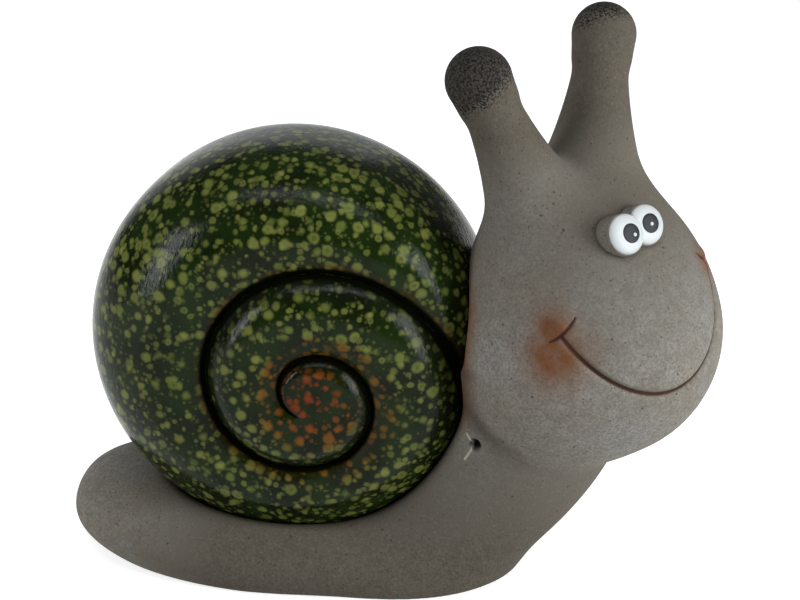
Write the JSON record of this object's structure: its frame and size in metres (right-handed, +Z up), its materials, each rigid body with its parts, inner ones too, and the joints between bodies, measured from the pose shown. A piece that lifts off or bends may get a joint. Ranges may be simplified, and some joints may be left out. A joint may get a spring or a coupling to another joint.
{
  "type": "snail figurine",
  "caption": "Hollow ceramic garden snail: grey clay foot, smiling head and feelers, with a speckled green glazed spiral shell; stands on its flat sole as an ornament.",
  "frame": {"origin": "on the sole, on the snail's centre plane, under the middle of its foot", "axes": "+X the way the snail crawls, +Y its left side, +Z up"},
  "size_m": [0.2509, 0.1077, 0.2161],
  "materials": {
    "clay": "matte grey-beige fired clay with fine dark pits, an orange blush at the mouth and black sponged feeler tips",
    "glaze": "glossy dark green glaze with yellow-green speckles",
    "eye_white": "satin white slip",
    "eye_black": "satin black slip"
  },
  "bodies": {
    "root": {"body": "clay", "head": "clay", "left_feeler": "clay", "right_feeler": "clay", "eye_boss": "clay", "shell": "glaze", "left_eye": "eye_white", "right_eye": "eye_white", "left_pupil": "eye_black", "right_pupil": "eye_black", "left_glint": "eye_white", "right_glint": "eye_white"}
  },
  "joints": []
}
